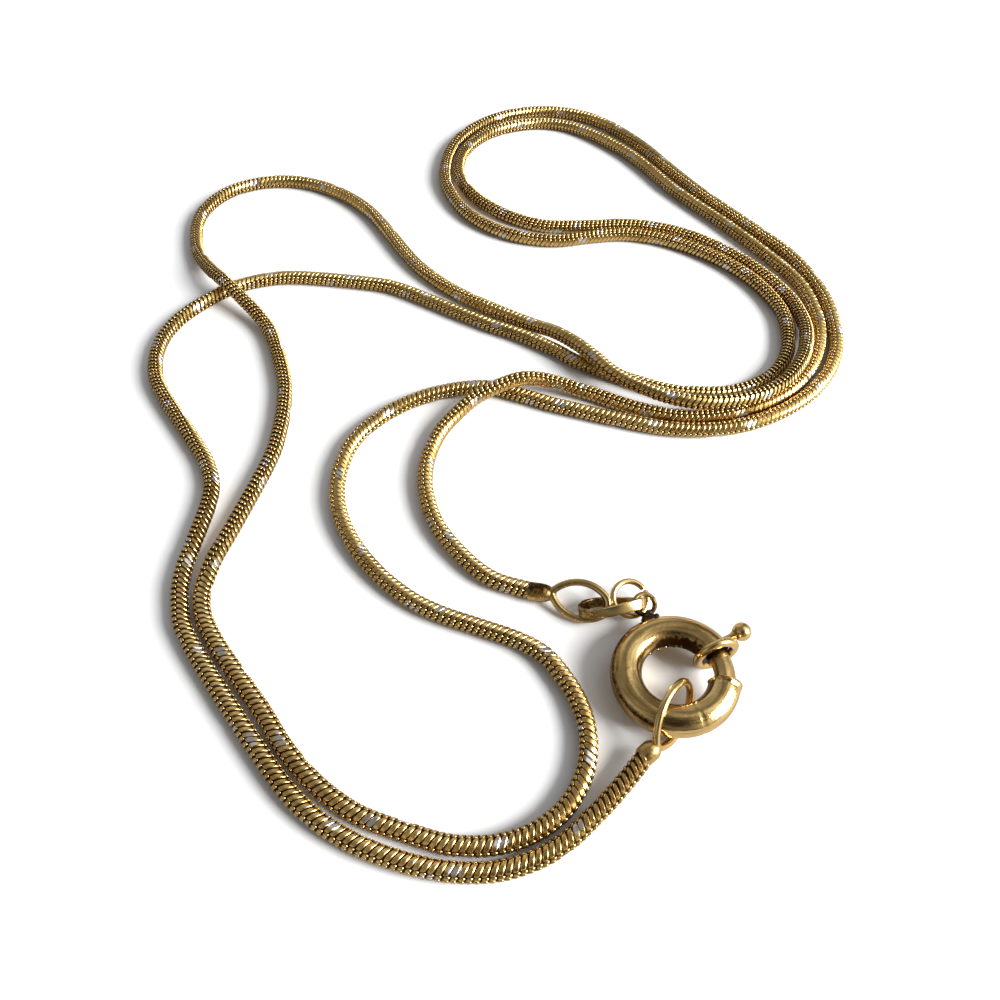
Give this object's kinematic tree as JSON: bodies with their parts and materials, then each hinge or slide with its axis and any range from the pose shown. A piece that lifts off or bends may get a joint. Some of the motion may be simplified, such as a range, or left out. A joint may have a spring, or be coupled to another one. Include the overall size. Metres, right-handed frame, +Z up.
{
  "type": "snake chain necklace",
  "caption": "Thin gold-coloured snake chain necklace lying in loose loops, its ends joined by a round bolt ring clasp with a sliding bolt, a strip link and small wire rings.",
  "frame": {"origin": "middle of the outline on the surface it lies on", "axes": "+Z up, -Y toward the viewer, +X to the viewer's right"},
  "size_m": [0.0576, 0.0791, 0.0031],
  "materials": {
    "chain_metal": "aged, woven, with small cut facets",
    "fitting_metal": "polished and worn",
    "ring_metal": "polished and tarnished"
  },
  "bodies": {
    "necklace": {"snake_chain": "chain_metal", "oval_eye_cap": "fitting_metal", "strip_link": "fitting_metal", "jump_ring": "fitting_metal", "bolt_ring": "ring_metal", "long_eye_cap": "fitting_metal"},
    "bolt": {"sliding_bolt": "ring_metal"}
  },
  "joints": [
    {"name": "bolt_slide", "type": "hinge", "parent": "necklace", "child": "bolt", "pos_m": [0.01067, -0.028, 0.00149], "axis": [-0.0601, 0.0106, 0.9981], "range_deg": [0, 38], "stiffness_Nm_per_rad": 0.003, "springref_deg": -5.73}
  ]
}
